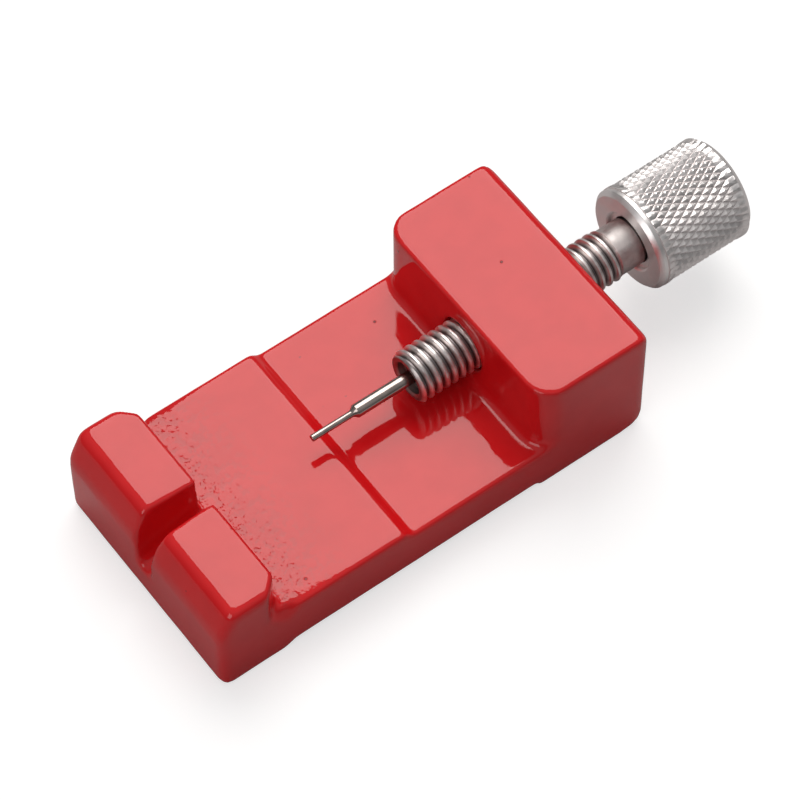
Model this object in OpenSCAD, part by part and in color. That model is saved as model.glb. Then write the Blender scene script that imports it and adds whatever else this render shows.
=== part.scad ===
// Bench press for pushing the link pins out of a metal watch band.
// A cast body carries an anvil at the front and a tapped tower at the back.
// A knurled knob turns the screw, and the screw's nose drives a stepped punch pin.

/* [Body casting] */
// Length of the casting, front of the anvil to back of the tower
base_len = 53.6; // [50:0.1:60]
// Width of the casting
base_w = 27.3; // [24:0.1:32]
// Height of the front work pad over the feet
pad_z = 7.2; // [6.8:0.1:7.6]
// Height of the lower deck behind the pad
deck_z = 6.2; // [5.6:0.1:6.4]
// Distance from the front to the top of the step between pad and deck
step_x = 22.7; // [18:0.1:26]
// Run of the step's slope
step_run = 1.1; // [0.8:0.1:1.6]
// Height of the shallow arch between the two feet
arch_z = 0.6; // [0.3:0.1:0.8]
// Rounding of the long top edges
edge_r = 0.5; // [0.3:0.1:0.8]

/* [Anvil] */
// Depth of the anvil blocks, front to work face
anvil_len = 7.95; // [7:0.05:9]
// Height of the anvil's top over the feet
anvil_z = 12.4; // [11.6:0.1:12.8]
// Height at which the steep front bevel starts
bevel_z = 8.9; // [8:0.1:9.6]
// Depth of the front bevel at the top
bevel_x = 1.7; // [1:0.1:2.2]
// Cut taken off each outer corner of the work face
corner_cut = 2; // [1:0.1:2.5]
// Width of the pin slot at the top of the front
slot_w = 3.35; // [3:0.05:3.8]
// Height of the slot's floor at the front
slot_floor_front = 4.5; // [4:0.1:5]

/* [Tower] */
// Distance from the front to the tower's work face
tower_x = 39.8; // [38:0.1:42]
// Height of the tower over the feet
tower_z = 15.9; // [15:0.1:17]
// Radius of the tower's upright front corners
tower_corner_r = 2.8; // [1.5:0.1:3.2]
// Fillet between the deck and the tower
tower_fillet_r = 0.9; // [0.5:0.1:1.4]

/* [Screw] */
// Outside diameter of the thread
thread_d = 5.9; // [5.8:0.02:5.98]
// Pitch of the thread
pitch = 1; // [0.9:0.1:1.1]
// Height of the screw's axis over the feet
axis_z = 9.8; // [9.6:0.05:10.2]
// How far the nose stands out of the tower
nose_out = 6.9; // [3:0.1:8]
// Plain gap between the tower and the knob
knob_gap = 7.8; // [7:0.1:9]
// Length of the plain neck beside the knob
neck_len = 2.5; // [2:0.1:3]
// Diameter of the plain neck, the blank that the thread is rolled on
neck_d = 5.4; // [5.3:0.05:5.5]

/* [Knob] */
// Diameter over the knurl
knob_d = 11.8; // [11:0.1:13]
// Length of the knob
knob_len = 12.2; // [10:0.1:14]
// Knurl grooves of each hand
knurl_starts = 40; // [36:1:44]

/* [Punch pin] */
// Diameter of the thin tip
tip_d = 0.75; // [0.7:0.05:0.9]
// Length of the thin tip
tip_len = 5.1; // [4:0.1:6]
// Diameter of the shank
shank_d = 1.5; // [1.3:0.05:1.8]
// Length of the shank in front of the screw's nose
shank_out = 6.9; // [5:0.1:8]

/* [Hidden] */

eps = 0.01;

steps_per_turn = 24;          // flats that stand for one turn of the thread
thread_depth = 0.54;          // crest to root
crest_share = 0.14;           // share of the pitch that is flat crest
root_share = 0.20;            // share of the pitch that is flat root
thread_gap = 0.08;            // room between the screw and the tapped hole
front_r = 0.8;                // rounding of the lower front edge
heel_r = 2.6;                 // rounding of the lower back edge
top_back_r = 1.6;             // rounding of the tower's upper back edge
top_front_r = 0.6;            // rounding of the tower's upper front edge
anvil_edge_r = 1.0;           // rounding of the anvil's outer top edges
foot_front = 6.8;             // end of the front foot
foot_back = 42.0;             // start of the back foot
foot_run = 2.4;               // run of the soft rise from foot to arch
plan_r = 1.2;                 // rounding of the casting's upright corners
slot_taper = 0.17;            // widening of the slot for each mm of height
slot_round = 0.95;            // radius of the slot's floor
cup_d = 3.8;                  // hollow in the screw's nose
cup_depth = 1.5;
collar_d = 3.6;               // collar of the punch pin, seated in the cup
collar_len = 0.7;
socket_len = 6;               // blind bore behind the cup, for the pin's tail
pin_gap = 0.05;               // running clearance round the pin
end_room = 0.5;               // room behind the pin's tail in that bore
tail_d = 5.0;                 // serrated tail of the screw, pressed into the knob
tail_len = 8;
tail_teeth = 24;
neck_reach = 0.2;             // how far the neck reaches into the knob's recess
tail_bite = 0.1;              // how deep the serrations bite into the knob
tail_room = 0.6;              // room behind the tail in the knob's bore
recess_d = 6.8;               // shallow recess in the knob's front face
recess_depth = 0.5;
knob_ring = 1.0;              // plain chamfered ring at the knob's front
knob_bevel = 0.5;
knob_back_bevel = 0.65;
knurl_depth = 0.3;
knurl_land = 0.05;            // how far the plain bands lie below the knurl's points

half_w = base_w / 2;
overall_len = base_len + knob_gap + knob_len;
front_x = -overall_len / 2;   // the origin is under the middle of the whole object
nose_x = tower_x - nose_out;
knob_x = base_len + knob_gap;
neck_x = knob_x - neck_len;
thread_r = thread_d / 2;
root_r = thread_r - thread_depth;
tip_x = nose_x - shank_out - tip_len;

// Points on an arc about [x, z]
function arc(x, z, r, from, to, count = 6) =
  [for (i = [0:count])
    let (a = from + (to - from) * i / count)
    [x + r * cos(a), z + r * sin(a)]];

// Soft S-shaped rise from one height to another
function rise(x0, z0, x1, z1, count = 6) =
  [for (i = [0:count])
    let (t = i / count)
    [x0 + (x1 - x0) * t, z0 + (z1 - z0) * (1 - cos(180 * t)) / 2]];

// Stands an outline drawn in X and Z up, and gives it a width along Y
module across(width) {
  translate([0, width / 2, 0])
    rotate([90, 0, 0])
      linear_extrude(width)
        children();
}

// Lays an outline drawn in Y and Z along X, from one X to another
module along(x0, x1) {
  translate([x0, 0, 0])
    rotate([90, 0, 90])
      linear_extrude(x1 - x0)
        children();
}

// Side view of the casting
module casting_side() {
  pad_round = 0.5;
  anvil_round = 0.3;
  anvil_fillet = 0.6;
  polygon(concat(
    arc(front_r, front_r, front_r, 270, 180),
    [[0, bevel_z]],
    [[bevel_x, anvil_z]],
    arc(anvil_len - anvil_round, anvil_z - anvil_round, anvil_round, 90, 0, 3),
    arc(anvil_len + anvil_fillet, pad_z + anvil_fillet, anvil_fillet, 180, 270, 4),
    arc(step_x - pad_round, pad_z - pad_round, pad_round, 90, 42, 4),
    [[step_x + step_run, deck_z]],
    arc(tower_x - tower_fillet_r, deck_z + tower_fillet_r, tower_fillet_r, 270, 360),
    arc(tower_x + top_front_r, tower_z - top_front_r, top_front_r, 180, 90, 4),
    arc(base_len - top_back_r, tower_z - top_back_r, top_back_r, 90, 0),
    arc(base_len - heel_r, heel_r, heel_r, 0, -90, 8),
    rise(foot_back, 0, foot_back - foot_run, arch_z),
    rise(foot_front + foot_run, arch_z, foot_front, 0)
  ));
}

// End view of one stretch of the casting, with its long top edges rounded
module end_view(top_z, r) {
  foot_r = 0.4;
  polygon(concat(
    arc(half_w - r, top_z - r, r, 0, 90),
    arc(r - half_w, top_z - r, r, 90, 180),
    arc(foot_r - half_w, foot_r, foot_r, 180, 270, 4),
    arc(half_w - foot_r, foot_r, foot_r, 270, 360, 4)
  ));
}

// Plan view of the whole casting
module plan_view() {
  polygon(concat(
    arc(base_len - plan_r, half_w - plan_r, plan_r, 0, 90),
    arc(plan_r, half_w - plan_r, plan_r, 90, 180),
    arc(plan_r, plan_r - half_w, plan_r, 180, 270),
    arc(base_len - plan_r, plan_r - half_w, plan_r, 270, 360)
  ));
}

// What is left over outside a rounded upright corner of the tower.
// The fillet at the tower's foot runs on round the corner.
module tower_corner() {
  r = tower_corner_r;
  f = tower_fillet_r;
  difference() {
    translate([tower_x - f, half_w - r, deck_z])
      cube([r + f, r + 1, tower_z]);
    translate([tower_x + r, half_w - r, 0])
      rotate_extrude($fn = 64)
        polygon(concat(
          [[0, 0]],
          [[r + f, 0]],
          arc(r + f, deck_z + f, f, 270, 180),
          [[r, 2 * tower_z]],
          [[0, 2 * tower_z]]
        ));
  }
}

// Flat cut across an outer corner of the anvil's work face, down to the pad
module anvil_corner() {
  translate([anvil_len, half_w, pad_z])
    rotate(45)
      translate([-corner_cut / sqrt(2), -base_w / 2, 0])
        cube([base_w, base_w, anvil_z]);
}

// Slot that the driven pin comes out through, with a floor that falls to the front
module pin_slot() {
  fall = atan((pad_z - slot_floor_front) / anvil_len);
  over = 4;
  high = anvil_z;
  wide = slot_w / 2 + slot_taper / 2 * (high - (anvil_z - slot_floor_front));
  narrow = slot_round * 1.05;
  translate([0, 0, slot_floor_front])
    rotate([0, -fall, 0])
      along(-over, anvil_len / cos(fall) + high * sin(fall))
        polygon(concat(
          [[wide, high]],
          [[-wide, high]],
          arc(0, slot_round, narrow, 180, 360, 10)
        ));
}

// One pitch of the thread, as [distance along the axis, radius].
// spread widens the groove of a tapped hole evenly on both flanks.
function thread_form(depth_r, crest_r, spread) =
  let (flank = (1 - crest_share - root_share) / 2 * pitch)
  let (crest = crest_share * pitch + spread)
  [
    [-spread / 2, depth_r],
    [flank - spread / 2, crest_r],
    [flank - spread / 2 + crest, crest_r],
    [2 * flank - spread / 2 + crest, depth_r]
  ];

// Right-hand thread as one closed solid along X from x0 to x1.
// It starts on a whole pitch, so a screw and a hole made with it are in mesh.
// Its ends blend into plain round ends of radius start_r and end_r.
module thread(x0, x1, depth_r, crest_r, start_r, end_r, blend, spread = 0) {
  form = thread_form(depth_r, crest_r, spread);
  per = steps_per_turn;
  margin = 0.2;
  first_x = pitch * ceil((x0 + margin) / pitch);
  turns = floor((x1 - margin - form[3][0] - first_x) / pitch);
  last = turns * per;
  function radius(x, r) =
    let (a = min(1, (x - x0) / blend))
    let (b = min(1, (x1 - x) / blend))
    r + (start_r - r) * (1 - a) + (end_r - r) * (1 - b);
  function spot(x, k, r) = [x, r * cos(360 * k / per), r * sin(360 * k / per)];
  ridge = [for (k = [0:last])
    for (p = form)
      let (x = first_x + pitch * k / per + p[0])
      spot(x, k, radius(x, p[1]))];
  rims = [for (end = [[x0, start_r], [x1, end_r]])
    for (k = [0:per - 1])
      spot(end[0], k, end[1])];
  // point j of station k; the fifth is the first of the station one turn on
  function at(k, j) = j < 4 ? 4 * k + j : 4 * (k + per);
  function near_rim(k) = 4 * (last + 1) + k % per;
  function far_rim(k) = near_rim(k) + per;
  function quad(a, b, c, d) = [[a, b, c], [a, c, d]];
  function fan(hub, loop) = [for (i = [0:len(loop) - 2]) [hub, loop[i], loop[i + 1]]];
  flanks = [for (k = [0:last - 1])
    for (j = [0:3])
      if (j < 3 || k < last - per)
        for (face = quad(at(k, j), at(k, j + 1), at(k + 1, j + 1), at(k + 1, j)))
          face];
  start_band = [for (k = [0:per - 2])
    for (face = quad(near_rim(k), at(k, 0), at(k + 1, 0), near_rim(k + 1)))
      face];
  start_seam = fan(at(per - 1, 0),
    [at(per, 0), at(0, 3), at(0, 2), at(0, 1), at(0, 0), near_rim(0), near_rim(per - 1)]);
  end_band = [for (k = [1:per - 1])
    let (s = last - per + k)
    for (face = quad(at(s, 3), far_rim(k), far_rim(k + 1), at(s + 1, 3)))
      face];
  end_seam = fan(at(last - per + 1, 3),
    [at(last - per, 3), at(last, 0), at(last, 1), at(last, 2), at(last, 3),
      far_rim(0), far_rim(1)]);
  caps = [
    [for (k = [0:per - 1]) near_rim(k)],
    [for (k = [per - 1:-1:0]) far_rim(k)]
  ];
  polyhedron(
    points = concat(ridge, rims),
    faces = concat(flanks, start_band, start_seam, end_band, end_seam, caps)
  );
}

// Tapped hole through the tower, with a countersink at each mouth.
// The cutting thread starts and ends more than a turn outside the tower.
module tapped_hole() {
  over = 2.5 * pitch;
  sink = 0.3;
  mouth_r = thread_r + sink;
  translate([0, 0, axis_z])
    thread(tower_x - over, base_len + over, root_r + thread_gap, thread_r + thread_gap,
      root_r, root_r, pitch, thread_gap);
  translate([tower_x - eps, 0, axis_z])
    rotate([0, 90, 0])
      cylinder(h = 2 * sink, r1 = mouth_r, r2 = mouth_r - 2 * sink, $fn = 64);
  translate([base_len + eps, 0, axis_z])
    rotate([0, -90, 0])
      cylinder(h = 2 * sink, r1 = mouth_r, r2 = mouth_r - 2 * sink, $fn = 64);
}

// Turned outline, drawn as [distance along the axis, radius], about the screw's axis
module turned() {
  translate([0, 0, axis_z])
    rotate([90, 0, 90])
      rotate_extrude($fn = 64)
        rotate(90)
          mirror([0, 1])
            children();
}

// Round hole or rod along the screw's axis
module axle(x0, x1, r) {
  translate([x0, 0, axis_z])
    rotate([0, 90, 0])
      cylinder(h = x1 - x0, r = r, $fn = 64);
}

// Cast body: feet, stepped deck, slotted anvil and tapped tower in one piece
module base() {
  color("crimson")
    translate([front_x, 0, 0])
      difference() {
        intersection() {
          across(base_w + 2)
            casting_side();
          union() {
            along(-1, anvil_len)
              end_view(anvil_z, anvil_edge_r);
            along(anvil_len, step_x + step_run / 2)
              end_view(pad_z, edge_r);
            along(step_x + step_run / 2, tower_x)
              end_view(deck_z, edge_r);
            along(tower_x - tower_fillet_r, base_len + 1)
              end_view(tower_z, top_front_r);
          }
          linear_extrude(2 * tower_z)
            plan_view();
        }
        pin_slot();
        for (side = [0, 1])
          mirror([0, side, 0]) {
            anvil_corner();
            tower_corner();
          }
        tapped_hole();
      }
}

// Screw: thread, plain neck, serrated tail, and a hollow nose that holds the pin
module spindle() {
  run_out = 1.2 * pitch;
  tail_x = knob_x + neck_reach;
  color("silver")
    translate([front_x, 0, 0])
      difference() {
        union() {
          translate([0, 0, axis_z])
            thread(nose_x, neck_x, root_r, thread_r, root_r, root_r, run_out);
          axle(neck_x, tail_x, neck_d / 2);
          translate([tail_x, 0, axis_z])
            rotate([90, 0, 90])
              linear_extrude(tail_len)
                serrations();
        }
        axle(nose_x - 1, nose_x + cup_depth, cup_d / 2);
        axle(nose_x, nose_x + cup_depth + socket_len, shank_d / 2 + pin_gap);
      }
}

// Star outline of the serrated tail
module serrations() {
  high = tail_d / 2 + tail_bite;
  low = tail_d / 2 - tail_bite;
  polygon([for (i = [0:2 * tail_teeth - 1])
    let (a = 180 * i / tail_teeth)
    let (r = i % 2 == 0 ? high : low)
    [r * cos(a), r * sin(a)]]);
}

// Diamond-knurled body of the knob as one closed solid.
// Peaks and groove crossings alternate round each ring and along the knob.
module knurled_body() {
  around = 2 * knurl_starts;
  knob_r = knob_d / 2;
  x0 = knob_x + knob_ring;
  x1 = knob_x + knob_len - knob_back_bevel;
  // a helix angle of 30 degrees sets the distance between rings
  rows = round((x1 - x0) / (PI * knob_d / around / tan(30)));
  plain = [
    [knob_x, knob_r - knob_bevel],
    [knob_x + knob_bevel, knob_r - knurl_land],
    [x0, knob_r - knurl_land]
  ];
  rings = concat(
    [for (p = plain) [p[0], p[1], p[1]]],
    [for (i = [1:rows - 1])
      [x0 + (x1 - x0) * i / rows, knob_r - knurl_depth, knob_r]],
    [[x1, knob_r - knurl_land, knob_r - knurl_land]],
    [[knob_x + knob_len, knob_r - knob_back_bevel, knob_r - knob_back_bevel]]
  );
  count = len(rings);
  points = [for (i = [0:count - 1])
    for (k = [0:around - 1])
      let (ring = rings[i])
      let (r = (i + k) % 2 == 0 ? ring[1] : ring[2])
      let (a = 360 * k / around)
      [ring[0], r * cos(a), r * sin(a)]];
  function at(i, k) = i * around + k % around;
  faces = [for (i = [0:count - 2])
    for (k = [0:around - 1])
      for (t = [0, 1])
        (i + k) % 2 == 0
          ? (t == 0 ? [at(i, k), at(i + 1, k), at(i + 1, k + 1)]
                    : [at(i, k), at(i + 1, k + 1), at(i, k + 1)])
          : (t == 0 ? [at(i, k), at(i + 1, k), at(i, k + 1)]
                    : [at(i + 1, k), at(i + 1, k + 1), at(i, k + 1)])];
  caps = [
    [for (k = [0:around - 1]) at(0, k)],
    [for (k = [around - 1:-1:0]) at(count - 1, k)]
  ];
  translate([0, 0, axis_z])
    polyhedron(points = points, faces = concat(faces, caps));
}

// Knurled aluminium knob, pressed on the screw's tail
module knob() {
  color("gainsboro")
    translate([front_x, 0, 0])
      difference() {
        knurled_body();
        axle(knob_x - 1, knob_x + recess_depth, recess_d / 2);
        axle(knob_x, knob_x + tail_len + tail_room, tail_d / 2);
      }
}

// Punch pin: thin tip, stout shank, and a collar that the screw's nose pushes on
module punch_pin() {
  tip_r = tip_d / 2;
  shank_r = shank_d / 2;
  shoulder_x = tip_x + tip_len;
  collar_x = nose_x + cup_depth - pin_gap;
  tail_x = nose_x + cup_depth + socket_len - end_room;
  edge = 0.08;
  shoulder = 0.25;
  flare_len = 0.15;
  flare = 0.1;
  color("lightsteelblue")
    translate([front_x, 0, 0])
      turned()
        polygon([
          [tip_x, 0],
          [tip_x, tip_r - edge],
          [tip_x + edge, tip_r],
          [shoulder_x - flare_len, tip_r],
          [shoulder_x, tip_r + flare],
          [shoulder_x + shoulder, shank_r],
          [collar_x - collar_len, shank_r],
          [collar_x - collar_len, collar_d / 2],
          [collar_x, collar_d / 2],
          [collar_x, shank_r],
          [tail_x, shank_r],
          [tail_x, 0]
        ]);
}

base();
spindle();
knob();
punch_pin();
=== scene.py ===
# %% [markdown]
# # A watch band link pin press
# This lesson builds the looks of a small bench tool that pushes the link pins out of a
# metal watch band. The tool is four real pieces: one red enamelled casting, a steel screw,
# a knurled aluminium knob pressed on the screw, and a thin stepped punch pin.
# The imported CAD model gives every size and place. It is loaded first and never moved.

import math

import bmesh
import bpy
from mathutils import Matrix, Vector


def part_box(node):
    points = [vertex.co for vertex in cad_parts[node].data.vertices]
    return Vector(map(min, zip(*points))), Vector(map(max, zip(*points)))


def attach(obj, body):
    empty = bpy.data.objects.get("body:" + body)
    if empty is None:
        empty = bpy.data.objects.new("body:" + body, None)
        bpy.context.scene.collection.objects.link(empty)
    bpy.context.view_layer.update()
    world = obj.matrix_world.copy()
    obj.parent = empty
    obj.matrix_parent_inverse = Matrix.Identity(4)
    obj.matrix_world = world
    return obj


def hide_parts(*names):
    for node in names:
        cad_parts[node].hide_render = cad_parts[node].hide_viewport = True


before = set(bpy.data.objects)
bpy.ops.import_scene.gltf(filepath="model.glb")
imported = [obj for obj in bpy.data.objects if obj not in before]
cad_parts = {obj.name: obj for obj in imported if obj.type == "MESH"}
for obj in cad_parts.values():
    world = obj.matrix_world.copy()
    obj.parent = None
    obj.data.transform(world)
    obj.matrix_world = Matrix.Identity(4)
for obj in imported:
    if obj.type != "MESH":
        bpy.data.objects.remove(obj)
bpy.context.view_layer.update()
MM = 0.001  # Blender works in metres here, and the tool is measured in millimetres

print("nodes:", sorted(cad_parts))

# %% [markdown]
# Every place comes from the boxes of the CAD pieces. The casting's box gives the bench
# level, the front of the anvil and the back of the tower. The screw and the knob are
# round, so the middle of the knob's box is the height of the screw's axis.

# %% Read the driving places from the frame
cast_low, cast_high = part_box("base")
screw_low, screw_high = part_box("spindle")
knob_low, knob_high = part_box("knob")
pin_low, pin_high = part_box("punch_pin")

FRONT = cast_low.x
BACK = cast_high.x
HALF_WIDTH = cast_high.y
TOWER_TOP = cast_high.z
AXIS_Z = (knob_low.z + knob_high.z) / 2
NOSE = screw_low.x
KNOB_FRONT = knob_low.x
KNOB_BACK = knob_high.x
KNOB_RADIUS = knob_high.y
TIP = pin_low.x

print(f"casting {1000 * (BACK - FRONT):.1f} x {2000 * HALF_WIDTH:.1f} x {1000 * TOWER_TOP:.1f} mm")
print(f"screw axis {1000 * AXIS_Z:.2f} mm over the bench")

# %% [markdown]
# The camera looks down at the tool from its front left, with a long lens, so the long
# edges stay almost parallel. It comes first, because it shows which sides need most care.

# %% Place the camera
CAMERA_PLACE = Vector((-0.13798, -0.18350, 0.36519))
CAMERA_TURN = math.radians(-35.97)
CAMERA_TILT = math.radians(57.69)
CAMERA_ROLL = math.radians(-0.51)
SENSOR_WIDTH = 36  # this and the lens are in real millimetres, as a camera maker gives them
LENS = 186.3

camera_data = bpy.data.cameras.new("camera")
camera_data.sensor_width = SENSOR_WIDTH
camera_data.lens = LENS
camera_data.clip_start = 10 * MM
camera = bpy.data.objects.new("camera", camera_data)
bpy.context.scene.collection.objects.link(camera)
camera.matrix_world = (
    Matrix.Translation(CAMERA_PLACE)
    @ Matrix.Rotation(CAMERA_TURN, 4, "Z")
    @ Matrix.Rotation(math.pi / 2 - CAMERA_TILT, 4, "X")
    @ Matrix.Rotation(CAMERA_ROLL, 4, "Z")
)
bpy.context.scene.camera = camera
print("camera is", round(camera.matrix_world.translation.length, 3), "m from the origin")

# %% [markdown]
# Modelling in code is modelling by hand with named picks. These helpers make one object
# the active one, open it in edit mode, and select its vertices, edges or faces by a rule
# about their place. Every operator acts on what is selected, so all starts deselected.

# %% Helpers for picking and shaping
NEAR = 0.01 * MM  # two places this close are the same place


def deselect():
    """Deselects every object."""
    for other in bpy.context.selected_objects:
        other.select_set(False)


def only(obj):
    """Makes one object the only selected and active one."""
    deselect()
    obj.select_set(True)
    bpy.context.view_layer.objects.active = obj


def edit(obj):
    """Opens an object in edit mode, with all of its mesh selected."""
    only(obj)
    bpy.ops.object.mode_set(mode="EDIT")
    bpy.ops.mesh.select_mode(type="VERT")
    bpy.ops.mesh.select_all(action="SELECT")


def close_edit():
    """Leaves edit mode."""
    bpy.ops.object.mode_set(mode="OBJECT")


def pick(obj, kind, rule):
    """In edit mode, selects only the VERT, EDGE or FACE elements that the rule accepts."""
    bpy.ops.mesh.select_mode(type=kind)
    bpy.ops.mesh.select_all(action="DESELECT")
    mesh = bmesh.from_edit_mesh(obj.data)
    elements = {"VERT": mesh.verts, "EDGE": mesh.edges, "FACE": mesh.faces}[kind]
    count = 0
    for element in elements:
        if rule(element):
            element.select_set(True)
            count += 1
    mesh.select_flush_mode()
    bmesh.update_edit_mesh(obj.data)
    return count


def middle(element):
    """The middle of an edge or a face."""
    points = [v.co for v in element.verts]
    return sum(points, Vector()) / len(points)


def along(edge, axis):
    """Whether an edge runs along X, Y or Z, given as 0, 1 or 2."""
    way = (edge.verts[1].co - edge.verts[0].co).normalized()
    return abs(way[axis]) > 0.999


def at(value, wanted):
    """Whether a coordinate is at a wanted place."""
    return abs(value - wanted) < NEAR


def round_edges(obj, rule, radius, segments):
    """Bevels the edges that a rule picks."""
    count = pick(obj, "EDGE", rule)
    bpy.ops.mesh.bevel(offset=radius, segments=segments, affect="EDGES")
    print(f"  rounded {count} edges of {obj.name} by {1000 * radius:.2f} mm")


def block(name, low, high):
    """A box between two corners, with its place in its mesh."""
    deselect()
    low, high = Vector(low), Vector(high)
    bpy.ops.mesh.primitive_cube_add(size=1, location=(low + high) / 2, scale=high - low)
    obj = bpy.context.active_object
    obj.name = name
    bpy.ops.object.transform_apply(location=True, rotation=True, scale=True)
    return obj


BIG = 1000  # booleans and remeshing are done this much larger, to keep them exact


def enlarge(obj, times):
    """Scales an object's mesh about the origin."""
    obj.data.transform(Matrix.Scale(times, 4))
    obj.data.update()


def cut(obj, cutter, operation="DIFFERENCE"):
    """Cuts, joins or intersects with another object, which is used up."""
    enlarge(obj, BIG)
    enlarge(cutter, BIG)
    only(obj)
    boolean = obj.modifiers.new(operation.lower(), "BOOLEAN")
    boolean.operation = operation
    boolean.solver = "MANIFOLD"
    boolean.object = cutter
    bpy.ops.object.modifier_apply(modifier=boolean.name)
    bpy.data.objects.remove(cutter)
    enlarge(obj, 1 / BIG)


def faces_of(obj):
    """The number of triangles an object comes to."""
    return sum(len(polygon.vertices) - 2 for polygon in obj.data.polygons)


# %% [markdown]
# ## The casting, as a sharp block
# The real casting is one piece: an anvil of two blocks, a raised pad, a lower deck and a
# tall tower, all standing on two feet. It could be cut from a block with booleans, but
# the same shape comes more cleanly from one box. The box is cut across at each change of
# height, and then its faces are pulled up or pushed down.

# %% Cut the box across and pull out anvil and tower
PAD_TOP = 7.2 * MM
DECK_TOP = 6.2 * MM
ANVIL_BACK = FRONT + 7.95 * MM
ANVIL_TOP = 12.4 * MM
BEVEL_FOOT = 8.9 * MM
BEVEL_RUN = 1.7 * MM
STEP_TOP = FRONT + 22.7 * MM
STEP_FOOT = STEP_TOP + 1.1 * MM
TOWER_FACE = FRONT + 39.8 * MM


def cut_across(obj, stations):
    """Cuts new edges across an object at places along X."""
    for station in stations:
        bpy.ops.mesh.select_all(action="SELECT")
        bpy.ops.mesh.bisect(plane_co=(station, 0, 0), plane_no=(1, 0, 0))


casting = block("casting", (FRONT, -HALF_WIDTH, 0), (BACK, HALF_WIDTH, PAD_TOP))
edit(casting)
cut_across(casting, (ANVIL_BACK, STEP_TOP, STEP_FOOT, TOWER_FACE))


def pull(rule, move):
    """Extrudes the casting's faces that a rule picks."""
    pick(casting, "FACE", rule)
    bpy.ops.mesh.extrude_region_move(TRANSFORM_OT_translate={"value": move})


def shift(rule, move):
    """Moves the casting's vertices that a rule picks."""
    pick(casting, "VERT", rule)
    bpy.ops.transform.translate(value=move)


shift(
    lambda v: at(v.co.z, PAD_TOP) and v.co.x > STEP_FOOT - NEAR,
    (0, 0, DECK_TOP - PAD_TOP),
)
pull(
    lambda f: f.normal.z > 0.9 and middle(f).x < ANVIL_BACK,
    (0, 0, ANVIL_TOP - PAD_TOP),
)
pull(
    lambda f: f.normal.z > 0.9 and middle(f).x > TOWER_FACE,
    (0, 0, TOWER_TOP - DECK_TOP),
)
bpy.ops.mesh.select_all(action="SELECT")
bpy.ops.mesh.bisect(plane_co=(0, 0, BEVEL_FOOT), plane_no=(0, 0, 1))
shift(lambda v: at(v.co.x, FRONT) and at(v.co.z, ANVIL_TOP), (BEVEL_RUN, 0, 0))
close_edit()
print("sharp casting:", len(casting.data.polygons), "faces")

# %% [markdown]
# The large roundings belong to the pattern that the casting was made from: the tower's
# upper back edge, the heel, the fillet at the tower's foot, the outer edges of the anvil
# and the cut corners of its work face. They are bevelled one kind at a time. The edges
# that run across the casting come first, so that the side edges can follow their curves.

# %% Round the corners that the mould had
FOOT_FILLET = 0.9 * MM
ANVIL_CUT = 2.0 * MM
TOP_BACK = 1.6 * MM
HEEL = 2.6 * MM
ANVIL_EDGE = 1.0 * MM


def on_side(edge):
    """Whether an edge lies in one of the casting's two side faces."""
    return all(at(abs(v.co.y), HALF_WIDTH) for v in edge.verts)


def is_anvil_outline(edge):
    """Edges that run up the anvil's front and back over its top, on either side."""
    spot = middle(edge)
    rises = spot.x < FRONT + BEVEL_RUN - NEAR and not along(edge, 0)
    return on_side(edge) and (
        rises or (at(spot.z, ANVIL_TOP) and spot.x < ANVIL_BACK)
    )


edit(casting)
round_edges(
    casting,
    lambda e: along(e, 1) and at(middle(e).x, BACK) and at(middle(e).z, TOWER_TOP),
    TOP_BACK,
    6,
)
round_edges(
    casting,
    lambda e: along(e, 1) and at(middle(e).x, BACK) and at(middle(e).z, 0),
    HEEL,
    8,
)
round_edges(
    casting,
    lambda e: along(e, 1) and at(middle(e).x, TOWER_FACE) and at(middle(e).z, DECK_TOP),
    FOOT_FILLET,
    5,
)
round_edges(
    casting,
    lambda e: along(e, 2)
    and on_side(e)
    and at(middle(e).x, ANVIL_BACK)
    and middle(e).z > PAD_TOP,
    ANVIL_CUT,
    1,
)
round_edges(casting, is_anvil_outline, ANVIL_EDGE, 5)
close_edit()
print("casting with the mould's corners:", len(casting.data.polygons), "faces")

# %% [markdown]
# The tower's upright back corners run into two curved edges, the heel and the top, and a
# bevel would tangle there. So a second block, a hair larger than the casting and with
# two rounded upright edges, is laid over it, and the casting keeps what is inside.

# %% Round the casting's upright back corners
BACK_CORNER = 1.2 * MM
HAIR = 0.02 * MM
SPARE = 2 * MM

envelope = block(
    "envelope",
    (FRONT - SPARE, -HALF_WIDTH - HAIR, -SPARE),
    (BACK + HAIR, HALF_WIDTH + HAIR, TOWER_TOP + SPARE),
)
edit(envelope)
round_edges(envelope, lambda e: along(e, 2) and middle(e).x > BACK, BACK_CORNER, 8)
close_edit()
cut(casting, envelope, "INTERSECT")
print("casting with rounded back:", len(casting.data.polygons), "faces")

# %% [markdown]
# The tower's upright front corners are rounder still, and the fillet at the tower's foot
# runs on round them. What is too much there is made as one piece, a block less an upright
# post that flares out at its foot, and is then taken off the casting on both sides.

# %% Round the tower's upright front corners
TOWER_CORNER = 2.8 * MM
# cones that make up the flare, each as reach past the post, foot and head over the deck
FLARES = [(0.9, -0.1, 0.25), (0.45, 0.0, 0.55), (0.18, 0.25, 0.95)]


def upright(x, y, z0, z1, radius0, radius1):
    """An upright post or cone from one height to another."""
    deselect()
    bpy.ops.mesh.primitive_cone_add(
        vertices=64,
        radius1=radius0,
        radius2=radius1,
        depth=z1 - z0,
        location=(x, y, (z0 + z1) / 2),
    )
    bpy.ops.object.transform_apply(location=True, rotation=True, scale=True)
    return bpy.context.active_object


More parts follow.
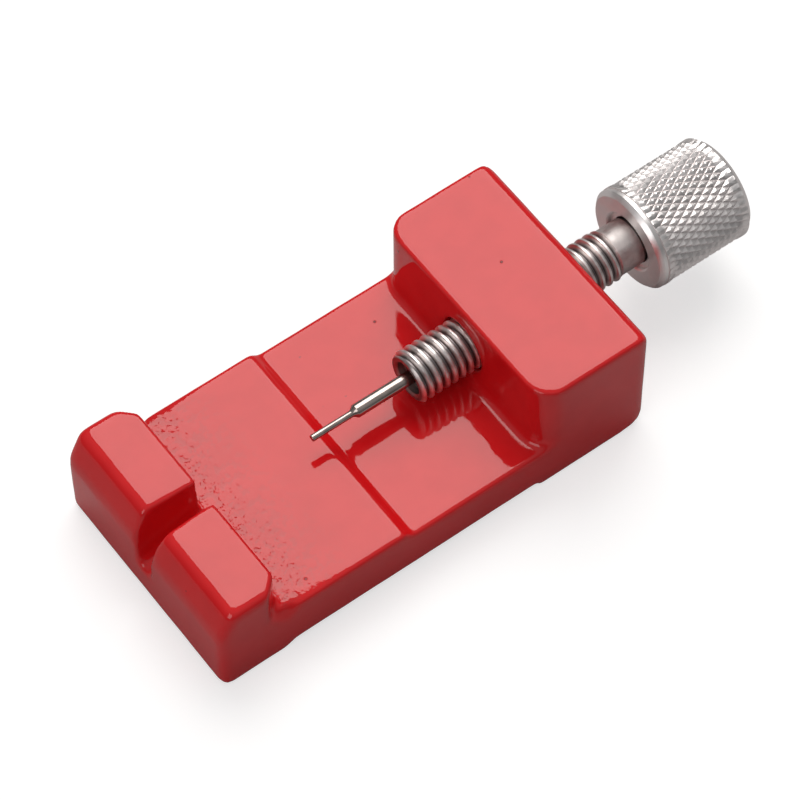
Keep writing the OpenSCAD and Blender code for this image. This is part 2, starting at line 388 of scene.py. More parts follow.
for side in (-1, 1):
    corner_y = side * (HALF_WIDTH - TOWER_CORNER)
    outer_y = side * (HALF_WIDTH + SPARE)
    post_x = TOWER_FACE + TOWER_CORNER
    corner = block(
        "corner",
        (TOWER_FACE - SPARE, min(corner_y, outer_y), DECK_TOP),
        (post_x, max(corner_y, outer_y), TOWER_TOP + SPARE),
    )
    post_z = TOWER_TOP + 2 * SPARE
    cut(corner, upright(post_x, corner_y, 0, post_z, TOWER_CORNER, TOWER_CORNER))
    for reach, foot, head in FLARES:
        flare = upright(
            post_x,
            corner_y,
            DECK_TOP + foot * MM,
            DECK_TOP + head * MM,
            TOWER_CORNER + reach * MM,
            TOWER_CORNER - HAIR,
        )
        cut(corner, flare)
    cut(casting, corner)
print("casting with round tower corners:", len(casting.data.polygons), "faces")

# %% [markdown]
# The casting stands on two feet, with a shallow arch between them. The edges for it are
# cut only now, because a bevel must not run over edges that lie inside its width.

# %% Raise the arch between the feet
FRONT_FOOT_END = FRONT + 6.8 * MM
BACK_FOOT_START = FRONT + 42.0 * MM
FOOT_RUN = 2.4 * MM
ARCH = 0.6 * MM

edit(casting)
arch_front = FRONT_FOOT_END + FOOT_RUN
arch_back = BACK_FOOT_START - FOOT_RUN
cut_across(casting, (FRONT_FOOT_END, arch_front, arch_back, BACK_FOOT_START))
shift(
    lambda v: at(v.co.z, 0) and arch_front - NEAR < v.co.x < arch_back + NEAR,
    (0, 0, ARCH),
)
close_edit()
print(f"arch is {1000 * (arch_back - arch_front):.1f} mm long at its top")

# %% [markdown]
# The slot lets the driven pin come out through the anvil. It is a V with a rounded floor
# that falls to the front. The cutter is a box whose lower edges are drawn together and
# rounded, and it is tilted about the point where the floor meets the pad.

# %% Cut the pin slot
SLOT_TOP_HALF = 1.68 * MM
SLOT_FLOOR_HALF = 0.98 * MM
SLOT_FLOOR_FRONT = 4.5 * MM
SLOT_FLOOR_ROUND = 0.8 * MM
SLOT_OVER = 6 * MM
SLOT_SPREAD = 1.33  # how much wider the cutter is at its top, well over the anvil

slot_fall = math.atan2(PAD_TOP - SLOT_FLOOR_FRONT, ANVIL_BACK - FRONT)
slot = block(
    "slot",
    (FRONT - SLOT_OVER, -SLOT_TOP_HALF, SLOT_FLOOR_FRONT),
    (ANVIL_BACK + SLOT_OVER, SLOT_TOP_HALF, ANVIL_TOP + SLOT_OVER),
)
edit(slot)
pick(slot, "VERT", lambda v: at(v.co.z, SLOT_FLOOR_FRONT))
bpy.ops.transform.resize(
    value=(1, SLOT_FLOOR_HALF / SLOT_TOP_HALF, 1), center_override=(0, 0, 0)
)
pick(slot, "VERT", lambda v: v.co.z > ANVIL_TOP)
bpy.ops.transform.resize(value=(1, SLOT_SPREAD, 1), center_override=(0, 0, 0))
round_edges(
    slot, lambda e: along(e, 0) and at(middle(e).z, SLOT_FLOOR_FRONT), SLOT_FLOOR_ROUND, 6
)
close_edit()
slot.data.transform(
    Matrix.Translation((FRONT, 0, SLOT_FLOOR_FRONT))
    @ Matrix.Rotation(-slot_fall, 4, "Y")
    @ Matrix.Translation((-FRONT, 0, -SLOT_FLOOR_FRONT))
)
cut(casting, slot)
print(f"slot floor falls {math.degrees(slot_fall):.1f} degrees to the front")

# %% [markdown]
# The screw runs through the tower. Its hole is bored with a little room round the thread,
# and each mouth has a small step, which the enamel turns into a soft countersink.

# %% Bore the tower for the screw
BORE_RADIUS = 3.05 * MM
MOUTH_RADIUS = 3.15 * MM
MOUTH_DEPTH = 0.25 * MM


def rod(name, x0, x1, radius, vertices=96):
    """A closed cylinder along the screw's axis."""
    deselect()
    bpy.ops.mesh.primitive_cylinder_add(
        vertices=vertices,
        radius=radius,
        depth=x1 - x0,
        location=((x0 + x1) / 2, 0, AXIS_Z),
        rotation=(0, math.pi / 2, 0),
    )
    obj = bpy.context.active_object
    obj.name = name
    bpy.ops.object.transform_apply(location=True, rotation=True, scale=True)
    return obj


cut(casting, rod("bore", TOWER_FACE - SPARE, BACK + SPARE, BORE_RADIUS))
for mouth in (TOWER_FACE, BACK):
    countersink = rod("countersink", mouth - MOUTH_DEPTH, mouth + MOUTH_DEPTH, MOUTH_RADIUS)
    cut(casting, countersink)
print("casting cut and bored:", len(casting.data.polygons), "faces")

# %% [markdown]
# ## The enamel's soft edges
# Thick enamel flows over every edge and lies in every corner, so nothing on the real
# piece is sharp. Bevelling each edge would give one hard radius. Here the whole casting
# is remeshed to an even skin of small squares, and the skin is relaxed. Flat faces stay
# flat, while edges and corners, outside and inside alike, turn into soft rounds.

# %% Turn the sharp casting into an enamelled one
SKIN = 0.25 * MM
RELAX_STEPS = 19

only(casting)
enlarge(casting, BIG)
remesh = casting.modifiers.new("skin", "REMESH")
remesh.mode = "VOXEL"
remesh.voxel_size = SKIN * BIG
remesh.use_smooth_shade = True
bpy.ops.object.modifier_apply(modifier=remesh.name)
relax = casting.modifiers.new("relax", "SMOOTH")
relax.factor = 0.5
relax.iterations = RELAX_STEPS
bpy.ops.object.modifier_apply(modifier=relax.name)
enlarge(casting, 1 / BIG)
print("enamelled casting:", faces_of(casting), "triangles")

# %% [markdown]
# Enamel never dries quite level. A gentle cloud of dents, a few hundredths of a
# millimetre deep, makes reflections on the broad faces waver as they do on the real one.
# The dents only go inwards, so the casting keeps its size.

# %% Let the enamel's surface waver
WAVE_LENGTH = 4 * MM
WAVE_DEPTH = 0.05 * MM

waves = bpy.data.textures.new("enamel waves", "CLOUDS")
waves.noise_scale = WAVE_LENGTH
waves.noise_depth = 1
waver = casting.modifiers.new("waver", "DISPLACE")
waver.texture = waves
waver.texture_coords = "LOCAL"
waver.strength = WAVE_DEPTH
waver.mid_level = 1.0
bpy.ops.object.modifier_apply(modifier=waver.name)
print("casting now measures", [round(1000 * side, 2) for side in casting.dimensions], "mm")

# %% [markdown]
# ## Turned pieces
# A lathe makes a round part from its outline, and so does this helper. It starts with
# one vertex, extrudes it from point to point along half of the outline, and spins that
# line about the screw's axis. Outlines start and end on the axis, so the part is closed.

# %% A small lathe
TURN_STEPS = 96
SAME = 0.002 * MM  # corners this close are welded


def point_at(name, place):
    """A new object, open in edit mode, whose mesh is one selected vertex."""
    deselect()
    bpy.ops.mesh.primitive_plane_add(size=MM, location=(0, 0, 0))
    obj = bpy.context.active_object
    obj.name = name
    edit(obj)
    bpy.ops.mesh.merge(type="CENTER")
    bpy.ops.transform.translate(value=place)
    return obj


def turned(name, outline, steps=TURN_STEPS):
    """Spins an outline of (place along X, radius) points about the screw's axis."""
    points = [Vector((x, 0, AXIS_Z + r)) for x, r in outline]
    obj = point_at(name, points[0])
    for here, there in zip(points, points[1:]):
        bpy.ops.mesh.extrude_region_move(
            TRANSFORM_OT_translate={"value": there - here}
        )
    bpy.ops.mesh.select_all(action="SELECT")
    bpy.ops.mesh.spin(
        steps=steps, angle=2 * math.pi, center=(0, 0, AXIS_Z), axis=(1, 0, 0)
    )
    bpy.ops.mesh.select_all(action="SELECT")
    bpy.ops.mesh.remove_doubles(threshold=SAME)
    bpy.ops.mesh.normals_make_consistent(inside=False)
    close_edit()
    return obj


def arc(x, r, radius, start, end, count=5):
    """Points on a rounding of an outline, from one angle to another in degrees."""
    angles = [math.radians(start + (end - start) * i / count) for i in range(count + 1)]
    return [(x + radius * math.cos(a), r + radius * math.sin(a)) for a in angles]


# %% [markdown]
# ## The punch pin
# The pin is ground from steel wire. Its thin tip drives the link pin, a cone joins it to
# the stout shank, and a collar sits in the cup of the screw's nose, where it is pushed.

# %% Turn the punch pin
TIP_RADIUS = 0.375 * MM
TIP_END = TIP + 5.1 * MM
SHANK_RADIUS = 0.75 * MM
CONE = 0.32 * MM
CUP_FLOOR = NOSE + 1.5 * MM
COLLAR_RADIUS = 1.8 * MM
COLLAR_BACK = CUP_FLOOR - 0.05 * MM
COLLAR_FRONT = COLLAR_BACK - 0.7 * MM

pin = turned(
    "pin",
    [(TIP, 0)]
    + arc(TIP + 0.1 * MM, TIP_RADIUS - 0.1 * MM, 0.1 * MM, 180, 90)
    + [(TIP_END - 0.2 * MM, TIP_RADIUS)]
    + [(TIP_END, TIP_RADIUS + 0.06 * MM)]
    + [(TIP_END + CONE, SHANK_RADIUS - 0.05 * MM)]
    + [(TIP_END + CONE + 0.08 * MM, SHANK_RADIUS)]
    + [(COLLAR_FRONT - 0.1 * MM, SHANK_RADIUS)]
    + [(COLLAR_FRONT, SHANK_RADIUS + 0.1 * MM)]
    + arc(COLLAR_FRONT + 0.1 * MM, COLLAR_RADIUS - 0.1 * MM, 0.1 * MM, 180, 90, 3)
    + [(COLLAR_BACK, COLLAR_RADIUS)]
    + [(COLLAR_BACK, SHANK_RADIUS)]
    + [(pin_high.x, SHANK_RADIUS)]
    + [(pin_high.x, 0)],
)
only(pin)
bpy.ops.object.shade_smooth_by_angle(angle=math.radians(28))
print("pin:", faces_of(pin), "triangles,", f"{1000 * (pin_high.x - TIP):.1f} mm long")

# %% [markdown]
# ## The screw
# A thread is a ridge that climbs one pitch for each turn. The ridge's section is drawn
# once, and the Screw modifier winds it round the axis. Rolled threads have slightly
# rounded crests and roots, so small slopes break the section's corners there.

# %% Wind the thread's ridge
PITCH = 1.0 * MM
THREAD_DEPTH = 0.54 * MM
CREST = screw_high.y
ROOT = CREST - THREAD_DEPTH
NECK_RADIUS = 2.7 * MM
NECK_START = KNOB_FRONT - 2.5 * MM
RIDGE_START = NOSE - 2 * PITCH
TURNS = math.ceil((NECK_START - RIDGE_START) / PITCH) + 1
STEPS_A_TURN = 72
# half of the ridge's section in mm: distance from its middle, and height over the root
HALF_RIDGE = [(0.44, -0.10), (0.41, 0.02), (0.38, 0.08), (0.18, 0.45), (0.12, 0.52), (0, 0.54)]

left = [Vector((-x, 0, ROOT / MM + h)) * MM for x, h in HALF_RIDGE]
right = [Vector((x, 0, ROOT / MM + h)) * MM for x, h in reversed(HALF_RIDGE[:-1])]
section = left + right

ridge = point_at("ridge", section[0])
for here, there in zip(section, section[1:]):
    bpy.ops.mesh.extrude_region_move(TRANSFORM_OT_translate={"value": there - here})
bpy.ops.mesh.select_all(action="SELECT")
bpy.ops.mesh.edge_face_add()
bpy.ops.mesh.delete(type="ONLY_FACE")
close_edit()
print("ridge section:", len(ridge.data.vertices), "points")

only(ridge)
wind = ridge.modifiers.new("wind", "SCREW")
wind.axis = "X"
wind.angle = 2 * math.pi
wind.screw_offset = PITCH
wind.iterations = TURNS
wind.steps = STEPS_A_TURN
wind.render_steps = STEPS_A_TURN
wind.use_merge_vertices = False
bpy.ops.object.modifier_apply(modifier=wind.name)
edit(ridge)
bpy.ops.mesh.remove_doubles(threshold=SAME)
bpy.ops.mesh.select_mode(type="EDGE")
bpy.ops.mesh.select_all(action="DESELECT")
bpy.ops.mesh.select_non_manifold()
bpy.ops.mesh.edge_face_add()
bpy.ops.mesh.select_all(action="SELECT")
bpy.ops.mesh.normals_make_consistent(inside=False)
bpy.ops.transform.translate(value=(RIDGE_START, 0, AXIS_Z))
close_edit()
print("ridge:", faces_of(ridge), "triangles over", TURNS, "turns")

# %% [markdown]
# The core is turned a little too long and, beside the knob, a little too thick. The
# ridge is joined to it, and then both are trimmed to the finished outline, with its
# chamfered nose and the cone where the thread runs out. The nose is hollowed last.

# %% Join the ridge to the core, trim the screw and hollow its nose
NOSE_BEVEL = 0.4 * MM
RUN_OUT = 0.7 * MM
TAIL_RADIUS = 2.5 * MM
CUP_RADIUS = 1.9 * MM
ROOM = 0.05 * MM
TAIL_END = screw_high.x
ROUGH_NECK = NECK_RADIUS + 3 * ROOM

spindle = turned(
    "screw",
    [
        (NOSE - MM, 0),
        (NOSE - MM, ROOT),
        (NECK_START - 0.8 * RUN_OUT, ROOT),
        (NECK_START - ROOM, ROUGH_NECK),
        (TAIL_END + MM, ROUGH_NECK),
        (TAIL_END + MM, 0),
    ],
)
cut(spindle, ridge, "UNION")
outline = turned(
    "outline",
    [
        (NOSE, 0),
        (NOSE, CREST - NOSE_BEVEL),
        (NOSE + NOSE_BEVEL + ROOM, CREST + ROOM),
        (NECK_START - RUN_OUT - ROOM, CREST + ROOM),
        (NECK_START, NECK_RADIUS),
        (KNOB_FRONT + 0.15 * MM, NECK_RADIUS),
        (KNOB_FRONT + 0.2 * MM, NECK_RADIUS - ROOM),
        (KNOB_FRONT + 0.2 * MM, TAIL_RADIUS),
        (TAIL_END, TAIL_RADIUS),
        (TAIL_END, 0),
    ],
)
cut(spindle, outline, "INTERSECT")
cup = turned(
    "cup",
    [
        (NOSE - MM, 0),
        (NOSE - MM, CUP_RADIUS + 0.2 * MM),
        (NOSE, CUP_RADIUS + 0.2 * MM),
        (NOSE + 0.2 * MM, CUP_RADIUS),
        (CUP_FLOOR, CUP_RADIUS),
        (CUP_FLOOR, SHANK_RADIUS + ROOM),
        (pin_high.x + 0.5 * MM, SHANK_RADIUS + ROOM),
        (pin_high.x + 0.5 * MM, 0),
    ],
)
cut(spindle, cup)
only(spindle)
bpy.ops.object.shade_smooth_by_angle(angle=math.radians(32))
print("screw:", faces_of(spindle), "triangles")

# %% [markdown]
# ## The knob
# The knob is turned from aluminium bar and knurled: two sets of slanted grooves cross
# and leave rows of small diamonds. Grooves could be cut one by one, but it is simpler to
# start with a cylinder of even squares, pull every second corner in, and join those
# corners across the squares. The joins become the grooves, and the corners left
# standing become the points of the diamonds.

# %% Knurl the knob
GROOVES = 40
AROUND = 2 * GROOVES
KNURL_DEPTH = 0.3 * MM
RING = 1.0 * MM
DIAMOND_FLAT = 0.13 * MM
BACK_BEVEL = 0.65 * MM
KNURL_ANGLE = math.radians(30)
band_front = KNOB_FRONT + RING
band_back = KNOB_BACK - BACK_BEVEL
square = 2 * math.pi * KNOB_RADIUS / AROUND / math.tan(KNURL_ANGLE)
rows = round((band_back - band_front) / square)
row_step = (band_back - band_front) / rows

knob = rod("knob_body", band_front, band_back, KNOB_RADIUS, AROUND)
edit(knob)
for row in range(1, rows):
    bpy.ops.mesh.select_all(action="SELECT")
    bpy.ops.mesh.bisect(
        plane_co=(band_front + row * row_step, 0, 0), plane_no=(1, 0, 0)
    )
first_angle = min(
    math.atan2(v.co.z - AXIS_Z, v.co.y) % (2 * math.pi / AROUND)
    for v in bmesh.from_edit_mesh(knob.data).verts
)


def knurl_place(v):
    """The row and column of a corner of the knob's squares."""
    angle = math.atan2(v.co.z - AXIS_Z, v.co.y) - first_angle
    return round((v.co.x - band_front) / row_step), round(angle * AROUND / (2 * math.pi))


def is_low(v):
    """Corners that become groove crossings."""
    row, column = knurl_place(v)
    return 0 < row < rows and (row + column) % 2 == 0


def is_high(v):
    """Corners that stay up as the points of diamonds."""
    row, column = knurl_place(v)
    return 0 < row < rows and (row + column) % 2 == 1


low_corners = pick(knob, "VERT", is_low)
bpy.ops.mesh.vert_connect()
shrink = (KNOB_RADIUS - KNURL_DEPTH) / KNOB_RADIUS
bpy.ops.transform.resize(value=(1, shrink, shrink), center_override=(0, 0, AXIS_Z))
high_corners = pick(knob, "VERT", is_high)
bpy.ops.mesh.bevel(offset=DIAMOND_FLAT, segments=1, affect="VERTICES")
close_edit()
print("knurl:", rows, "rows,", low_corners, "groove crossings,", high_corners, "diamonds")

# %% [markdown]
# The knob's ends grow out of the same mesh. The flat end is extruded for the plain ring,
# drawn in for the chamfer, and inset for the recess round the screw.

# %% Shape the knob's two ends


def end_step(move, radius, old_radius):
    """Extrudes the picked end of the knob along X and sets its radius."""
    bpy.ops.mesh.extrude_region_move(TRANSFORM_OT_translate={"value": (move, 0, 0)})
    size = radius / old_radius
    bpy.ops.transform.resize(value=(1, size, size), center_override=(0, 0, AXIS_Z))


def grow_end(x, steps):
    """Works through the (move, radius) steps of one end."""
    pick(knob, "FACE", lambda f: abs(f.normal.x) > 0.99 and at(middle(f).x, x))
    old = KNOB_RADIUS
    for move, radius in steps:
        end_step(move * MM, radius * MM, old)
        old = radius * MM


FULL = KNOB_RADIUS / MM
RECESS = 3.6
SCREW_HOLE = 2.75
edit(knob)
grow_end(
    band_front,
    [
        (0, FULL - 0.12),  # the groove between the knurl and the ring
        (-0.1, FULL - 0.05),
        (-0.4, FULL - 0.05),  # the plain ring
        (-0.1, FULL - 0.1),
        (-0.4, FULL - 0.5),  # its chamfer
        (0, RECESS),
        (0.15, RECESS - 0.2),
        (0.35, RECESS - 0.25),
        (0, SCREW_HOLE),
        (2.0, SCREW_HOLE),
    ],
)
grow_end(
    band_back,
    [(0, FULL - 0.08), (0.08, FULL - 0.12), (0.49, FULL - 0.57), (0.08, FULL - 0.7), (0, 1.2)],
)
bpy.ops.mesh.select_all(action="SELECT")
bpy.ops.mesh.normals_make_consistent(inside=False)
close_edit()
only(knob)
bpy.ops.object.shade_smooth_by_angle(angle=math.radians(25))
print("knob:", faces_of(knob), "triangles")

# %% [markdown]
# ## Finishes
# Each finish is a short function. All patterns read Object coordinates, which on these
# pieces are the places on the tool itself, in metres, so a pattern 0.5 mm wide needs a
# scale of about 2000.

# %% Helpers for finishes


def finish_of(name, **sockets):
    """A new material, with its shader and the given constant sockets set."""
    made = bpy.data.materials.new(name)
    made.use_nodes = True
    shader = made.node_tree.nodes["Principled BSDF"]
    for socket, value in sockets.items():
        shader.inputs[socket.replace("_", " ")].default_value = value
    return made, shader


def add(material, kind, **settings):
    """Adds a node and sets its inputs and properties by name."""
    made = material.node_tree.nodes.new(kind)
    for key, value in settings.items():
        words = key.replace("_", " ")
        if words in made.inputs:
            made.inputs[words].default_value = value
        else:
            setattr(made, key, value)
    return made


def join(material, output, target):
    """Links an output to an input."""
    material.node_tree.links.new(output, target)


def places(material):
    """Object coordinates."""
    return add(material, "ShaderNodeTexCoord").outputs["Object"]


def noise(material, where, scale, detail=2.0, roughness=0.5):
    """A noise pattern with a scale in cells for each metre."""
    made = add(
        material, "ShaderNodeTexNoise", Scale=scale, Detail=detail, Roughness=roughness
    )
    join(material, where, made.inputs["Vector"])
    return made.outputs["Fac"]


def fade(material, value, low, high, bottom=0.0, top=1.0):
    """Maps a stretch of a value smoothly to another stretch."""
    made = add(material, "ShaderNodeMapRange", interpolation_type="SMOOTHSTEP")
    made.inputs["From Min"].default_value = low
    made.inputs["From Max"].default_value = high
    made.inputs["To Min"].default_value = bottom
    made.inputs["To Max"].default_value = top
    join(material, value, made.inputs["Value"])
    return made.outputs["Result"]


def calc(material, operation, first, second):
    """A Math node with two inputs, each a number or an output."""
    made = add(material, "ShaderNodeMath", operation=operation)
    for slot_index, value in enumerate((first, second)):
        if isinstance(value, (int, float)):
            made.inputs[slot_index].default_value = value
        else:
            join(material, value, made.inputs[slot_index])
    return made.outputs["Value"]


def blend_colours(material, share, first, second):
    """Mixes two colours, each fixed or an output, by a share."""
    made = add(material, "ShaderNodeMix", data_type="RGBA")
    join(material, share, made.inputs[0])
    for target, value in ((made.inputs[6], first), (made.inputs[7], second)):
        if isinstance(value, tuple):
            target.default_value = value
        else:
            join(material, value, target)
    return made.outputs[2]


def bump(material, height, distance, strength=1.0, under=None):
    """A Bump node, on top of another one if given."""
    made = add(material, "ShaderNodeBump", Strength=strength, Distance=distance)
    join(material, height, made.inputs["Height"])
    if under is not None:
        join(material, under, made.inputs["Normal"])
    return made.outputs["Normal"]


def from_axis(material, where):
    """Distance from the screw's axis, and place along it."""
    parts = add(material, "ShaderNodeSeparateXYZ")
    join(material, where, parts.inputs[0])
    up = calc(material, "SUBTRACT", parts.outputs["Z"], AXIS_Z)
    squares = calc(
        material,
        "ADD",
        calc(material, "MULTIPLY", up, up),
        calc(material, "MULTIPLY", parts.outputs["Y"], parts.outputs["Y"]),
    )
    return calc(material, "SQRT", squares, 0.0), parts.outputs["X"]


# %% [markdown]
# Red enamel is a coloured coat under a clear gloss. The colour sits on the rough base,
# and the gloss comes from the shader's coat. Three things keep it from looking like
# plastic: the fine orange peel that sprayed enamel dries with, which is stronger on the
# pad beside the anvil, slight changes in how deep the red is, and specks of dust. Beside
# the anvil the peel's hollows are also painted a duller red, as painted shade.

# %% Red enamel


def red_enamel():
    """Glossy red, with specks, and with a rough peel on the pad beside the anvil, whose hollows
    carry painted shade.
    """
    made, shader = finish_of(
        "red enamel",
        Roughness=0.5,
        Specular_IOR_Level=0.0,
        Coat_Weight=1.0,
        Coat_Roughness=0.045,
        Coat_IOR=1.5,
    )
    where = places(made)
    depth = noise(made, where, 260.0, 3.0)
    colour = blend_colours(
        made,
        fade(made, depth, 0.3, 0.7),
        (0.64, 0.008, 0.011, 1),
        (0.68, 0.010, 0.013, 1),
    )
    specks = add(made, "ShaderNodeTexVoronoi", Scale=420.0)
    join(made, where, specks.inputs["Vector"])
    rare = fade(made, noise(made, where, 330.0, 1.0), 0.60, 0.66)
    speck = calc(
        made, "MULTIPLY", fade(made, specks.outputs["Distance"], 0.09, 0.04), rare
    )
    colour = blend_colours(made, speck, colour, (0.16, 0.004, 0.006, 1))

    parts = add(made, "ShaderNodeSeparateXYZ")
    join(made, where, parts.inputs[0])
    on_pad = calc(
        made,
        "MULTIPLY",
        fade(made, parts.outputs["Z"], PAD_TOP - 0.4 * MM, PAD_TOP - 0.15 * MM),
        fade(made, parts.outputs["Z"], PAD_TOP + 0.6 * MM, PAD_TOP + 0.2 * MM),
    )
    from_middle = calc(made, "ABSOLUTE", parts.outputs["Y"], 0.0)
    inside = calc(
        made,
        "MULTIPLY",
        fade(made, from_middle, HALF_WIDTH - 0.3 * MM, HALF_WIDTH - 1.2 * MM),
        fade(made, parts.outputs["X"], ANVIL_BACK, ANVIL_BACK + 0.3 * MM),
    )
    beside_anvil = calc(
        made,
        "MULTIPLY",
        fade(made, parts.outputs["X"], STEP_TOP - 4 * MM, ANVIL_BACK + 1 * MM),
        calc(made, "MULTIPLY", on_pad, inside),
    )
    peel = noise(made, where, 900.0, 2.0, 0.55)
    soft = bump(made, peel, 0.010 * MM, 0.55)
    worms = noise(made, where, 1100.0, 2.0, 0.55)
    rough_peel = calc(made, "MULTIPLY", worms, beside_anvil)
    normal = bump(made, rough_peel, 0.27 * MM, 1.0, soft)
    normal = bump(made, speck, 0.03 * MM, 1.0, normal)
    join(made, normal, shader.inputs["Coat Normal"])
    join(made, soft, shader.inputs["Normal"])
    # painted shade: the peel's hollows beside the anvil are painted a duller, darker red
    painted_peel_shade = calc(made, "MULTIPLY", fade(made, worms, 0.52, 0.40), beside_anvil)
    colour = blend_colours(made, painted_peel_shade, colour, (0.57, 0.021, 0.023, 1))
    join(made, colour, shader.inputs["Base Color"])
    return made


enamel = red_enamel()
print("red enamel:", len(enamel.node_tree.nodes), "nodes")

# %% [markdown]
# The screw is bright rolled steel. Its roots are painted much darker than its crests, as
# painted shade in the thread's hollows, and the inside of its nose cup is painted dark as
# painted shade in the cup. Distance from the axis tells these places apart.

# %% Bright steel for the screw


def bright_steel():
    """Grey steel with bright crests, painted shade in the roots and the nose cup, and fine marks
    round the screw.
    """
    made, shader = finish_of("bright steel", Metallic=1.0)
    where = places(made)
    radius = from_axis(made, where)[0]
    # painted shade: this mask is 1 on the crests and 0 in the roots, which are painted dark
    crest_over_painted_root_shade = fade(made, radius, ROOT + 0.02 * MM, CREST - 0.12 * MM)
    # painted shade: below the roots' radius, in the nose cup, the steel is painted dark
    clear_of_painted_cup_shade = fade(made, radius, ROOT - 0.3 * MM, ROOT - 0.1 * MM)
    patches = noise(made, where, 900.0, 4.0, 0.6)
    tone = calc(made, "MULTIPLY", crest_over_painted_root_shade, fade(made, patches, 0.2, 0.65, 0.6, 1.0))
    # the first colour is painted shade in the thread's roots
    colour = blend_colours(
        made, tone, (0.24, 0.21, 0.21, 1), (0.84, 0.79, 0.77, 1)
    )
    # the first colour is painted shade in the nose cup
    colour = blend_colours(made, clear_of_painted_cup_shade, (0.34, 0.29, 0.28, 1), colour)
    join(made, colour, shader.inputs["Base Color"])
    join(made, fade(made, patches, 0.3, 0.7, 0.28, 0.44), shader.inputs["Roughness"])
    streaks = add(made, "ShaderNodeMapping")
    streaks.inputs["Scale"].default_value = (5, 1, 1)
    join(made, where, streaks.inputs["Vector"])
    fine = noise(made, streaks.outputs["Vector"], 1800.0, 3.0, 0.65)
    join(made, bump(made, fine, 0.045 * MM, 0.7), shader.inputs["Normal"])
    return made


steel = bright_steel()
print("bright steel:", len(steel.node_tree.nodes), "nodes")

# %% [markdown]
# The knob is aluminium straight from the lathe and the knurling wheels. Its faces carry
# the fine rings that the tool's point left, and the knurl's grooves are painted a little grey as
# painted shade.

# %% Turned aluminium for the knob


def turned_aluminium():
    """Pale aluminium with the lathe's rings, and painted shade in the knurl's grooves."""
    made, shader = finish_of("turned aluminium", Metallic=1.0)
    where = places(made)
    radius, along_axis = from_axis(made, where)
    height = fade(made, radius, KNOB_RADIUS - KNURL_DEPTH, KNOB_RADIUS - 0.05 * MM)
    in_band = calc(
        made,
        "MULTIPLY",
        fade(made, along_axis, KNOB_FRONT + RING, KNOB_FRONT + RING + 0.2 * MM),
        fade(made, along_axis, band_back + 0.02 * MM, band_back - 0.1 * MM),
    )
    # painted shade: where the radius is low, in the knurl's grooves, the aluminium is painted
    # greyer
    knurl_groove_shade = calc(made, "MULTIPLY", in_band, calc(made, "SUBTRACT", 1.0, height))
    patches = noise(made, where, 500.0, 4.0, 0.6)
    colour = blend_colours(
        made,
        fade(made, patches, 0.3, 0.7),
        (0.90, 0.865, 0.86, 1),
        (0.96, 0.925, 0.915, 1),
    )
    # the grey colour is painted shade in the grooves
    colour = blend_colours(made, knurl_groove_shade, colour, (0.80, 0.755, 0.75, 1))
    join(made, colour, shader.inputs["Base Color"])
    join(made, fade(made, patches, 0.3, 0.7, 0.30, 0.42), shader.inputs["Roughness"])
    rings = add(made, "ShaderNodeTexNoise", Scale=9000.0, Detail=2.0)
    ring_place = add(made, "ShaderNodeCombineXYZ")
    join(made, radius, ring_place.inputs["X"])
    join(made, along_axis, ring_place.inputs["Y"])
    join(made, ring_place.outputs["Vector"], rings.inputs["Vector"])
    normal = bump(made, rings.outputs["Fac"], 0.012 * MM, 0.8)
    normal = bump(made, noise(made, where, 2500.0, 3.0), 0.01 * MM, 0.7, normal)
    join(made, normal, shader.inputs["Normal"])
    return made


aluminium = turned_aluminium()
print("turned aluminium:", len(aluminium.node_tree.nodes), "nodes")

# %% [markdown]
# The punch pin is ground and polished steel. Grinding leaves rings finer than the eye
# can part, so they show only as a softer highlight.

# %% Polished steel for the punch pin


def polished_steel():
    """Warm, smooth steel with the finest of grinding rings."""
    made, shader = finish_of("polished steel", Metallic=1.0)
    where = places(made)
    tone = noise(made, where, 700.0, 3.0)
    colour = blend_colours(
        made, fade(made, tone, 0.3, 0.7), (0.36, 0.30, 0.275, 1), (0.48, 0.41, 0.38, 1)
    )
    join(made, colour, shader.inputs["Base Color"])
    join(made, fade(made, tone, 0.3, 0.7, 0.12, 0.2), shader.inputs["Roughness"])
    stretch = add(made, "ShaderNodeMapping")
    stretch.inputs["Scale"].default_value = (6, 0.6, 0.6)
    join(made, where, stretch.inputs["Vector"])
    rings = noise(made, stretch.outputs["Vector"], 3000.0, 2.0)
    join(made, bump(made, rings, 0.004 * MM, 0.6), shader.inputs["Normal"])
    return made


pin_steel = polished_steel()
print("polished steel:", len(pin_steel.node_tree.nodes), "nodes")

# %% [markdown]
# Each piece takes one finish, rides on its body, and stands for its CAD node.

# %% Dress the pieces and put them on their bodies


def dress(obj, material, body, node):
    """Gives a finished piece its material and its body, and hides the CAD node it stands for."""
    obj.data.materials.clear()
    obj.data.materials.append(material)
    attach(obj, body)
    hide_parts(node)
    print(f"{obj.name} rides on {body} and stands for {node}")


dress(casting, enamel, "casting", "base")
dress(spindle, steel, "screw", "spindle")
dress(knob, aluminium, "screw", "knob")
dress(pin, pin_steel, "punch", "punch_pin")

# %% [markdown]
# ## The stage
# The tool lies on a plain white sheet. One large soft panel hangs behind and above it,
# where the enamel's flat tops mirror it, and the room is dim near its horizon, so that
# rounded edges show as deep red lines between bright faces.
#
# A white sheet close to gloss paint washes its sides out with reflections. A studio would
# lay the tool on a darker table and cut the background out. Here the sheet and the room
# look white to the camera alone, and the tool mirrors darker ones. The Light Path node
# tells the two kinds of ray apart.

# %% Floor, lights and room
FLOOR_SIZE = 3.0
GREY_SHEET = (0.42, 0.41, 0.41, 1)
SEEN_SHEET = (0.5, 0.5, 0.5, 1)
SEEN_GLOW = 0.62  # brings the sheet that is seen close to white, but leaves soft shadows

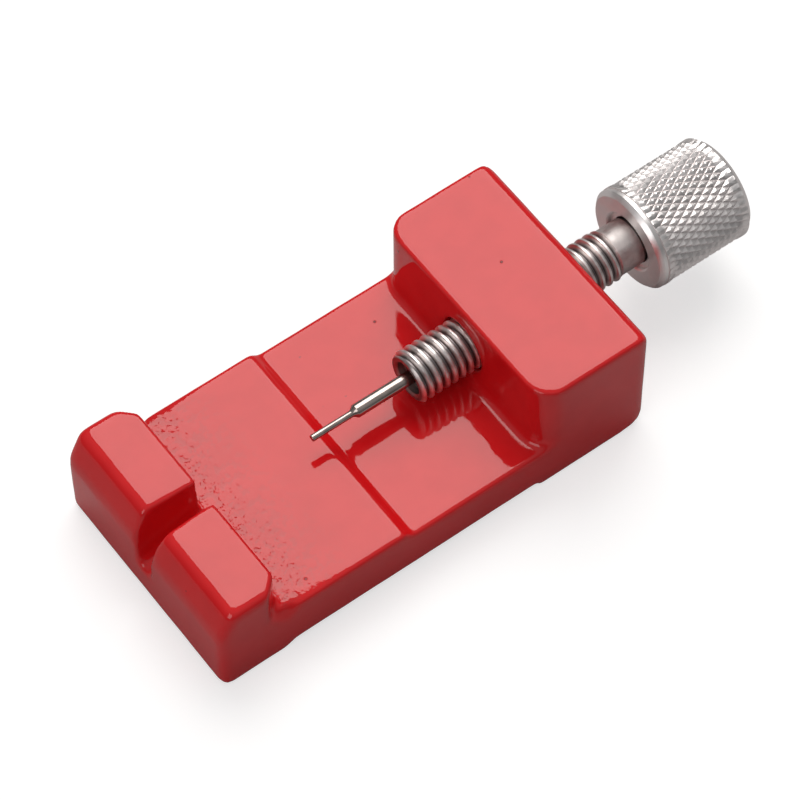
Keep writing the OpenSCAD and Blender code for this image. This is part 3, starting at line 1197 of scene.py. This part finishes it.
deselect()
bpy.ops.mesh.primitive_plane_add(size=FLOOR_SIZE, location=(0, 0, -0.02 * MM))
floor = bpy.context.active_object
floor.name = "floor"
sheet_white, sheet_shader = finish_of(
    "white sheet", Base_Color=GREY_SHEET, Roughness=0.9, Specular_IOR_Level=0.0
)
sheet_seen = add(
    sheet_white,
    "ShaderNodeBsdfPrincipled",
    Base_Color=SEEN_SHEET,
    Roughness=0.9,
    Specular_IOR_Level=0.0,
    Emission_Color=(1, 1, 1, 1),
    Emission_Strength=SEEN_GLOW,
)
sheet_mix = add(sheet_white, "ShaderNodeMixShader")
sheet_out = sheet_white.node_tree.nodes["Material Output"]
looking = add(sheet_white, "ShaderNodeLightPath").outputs["Is Camera Ray"]
join(sheet_white, looking, sheet_mix.inputs[0])
join(sheet_white, sheet_shader.outputs[0], sheet_mix.inputs[1])
join(sheet_white, sheet_seen.outputs[0], sheet_mix.inputs[2])
join(sheet_white, sheet_mix.outputs[0], sheet_out.inputs["Surface"])
floor.data.materials.append(sheet_white)


def panel(name, way, distance, width, height, power, colour=(1, 1, 1)):
    """A soft panel of light that faces the tool from a given way."""
    data = bpy.data.lights.new(name, "AREA")
    data.shape = "RECTANGLE"
    data.size = width
    data.size_y = height
    data.energy = power
    data.color = colour
    obj = bpy.data.objects.new(name, data)
    bpy.context.scene.collection.objects.link(obj)
    away = Vector(way).normalized()
    obj.location = away * distance
    obj.rotation_euler = away.to_track_quat("Z", "Y").to_euler()
    return obj


panel("back softbox", (0.314, 0.433, 0.845), 0.9, 0.75, 0.75, 5.9, (1, 0.975, 0.945))
panel("left softbox", (-0.9, -0.25, 0.55), 1.1, 0.6, 0.6, 2.2)

room = bpy.data.worlds.new("room")
room.use_nodes = True
room.node_tree.nodes["Background"].inputs["Color"].default_value = (1, 1, 1, 1)
sky_way = add(room, "ShaderNodeTexCoord").outputs["Generated"]
sky_parts = add(room, "ShaderNodeSeparateXYZ")
join(room, sky_way, sky_parts.inputs[0])
sky = fade(room, sky_parts.outputs["Z"], 0.1, 0.95, 0.14, 0.42)
backdrop = add(room, "ShaderNodeLightPath").outputs["Is Camera Ray"]
seen_sky = calc(room, "MAXIMUM", sky, backdrop)
join(room, seen_sky, room.node_tree.nodes["Background"].inputs["Strength"])
bpy.context.scene.world = room
bpy.context.scene.view_settings.view_transform = "Standard"
print("stage: a floor", FLOOR_SIZE, "m wide and", len(bpy.data.lights), "soft panels")
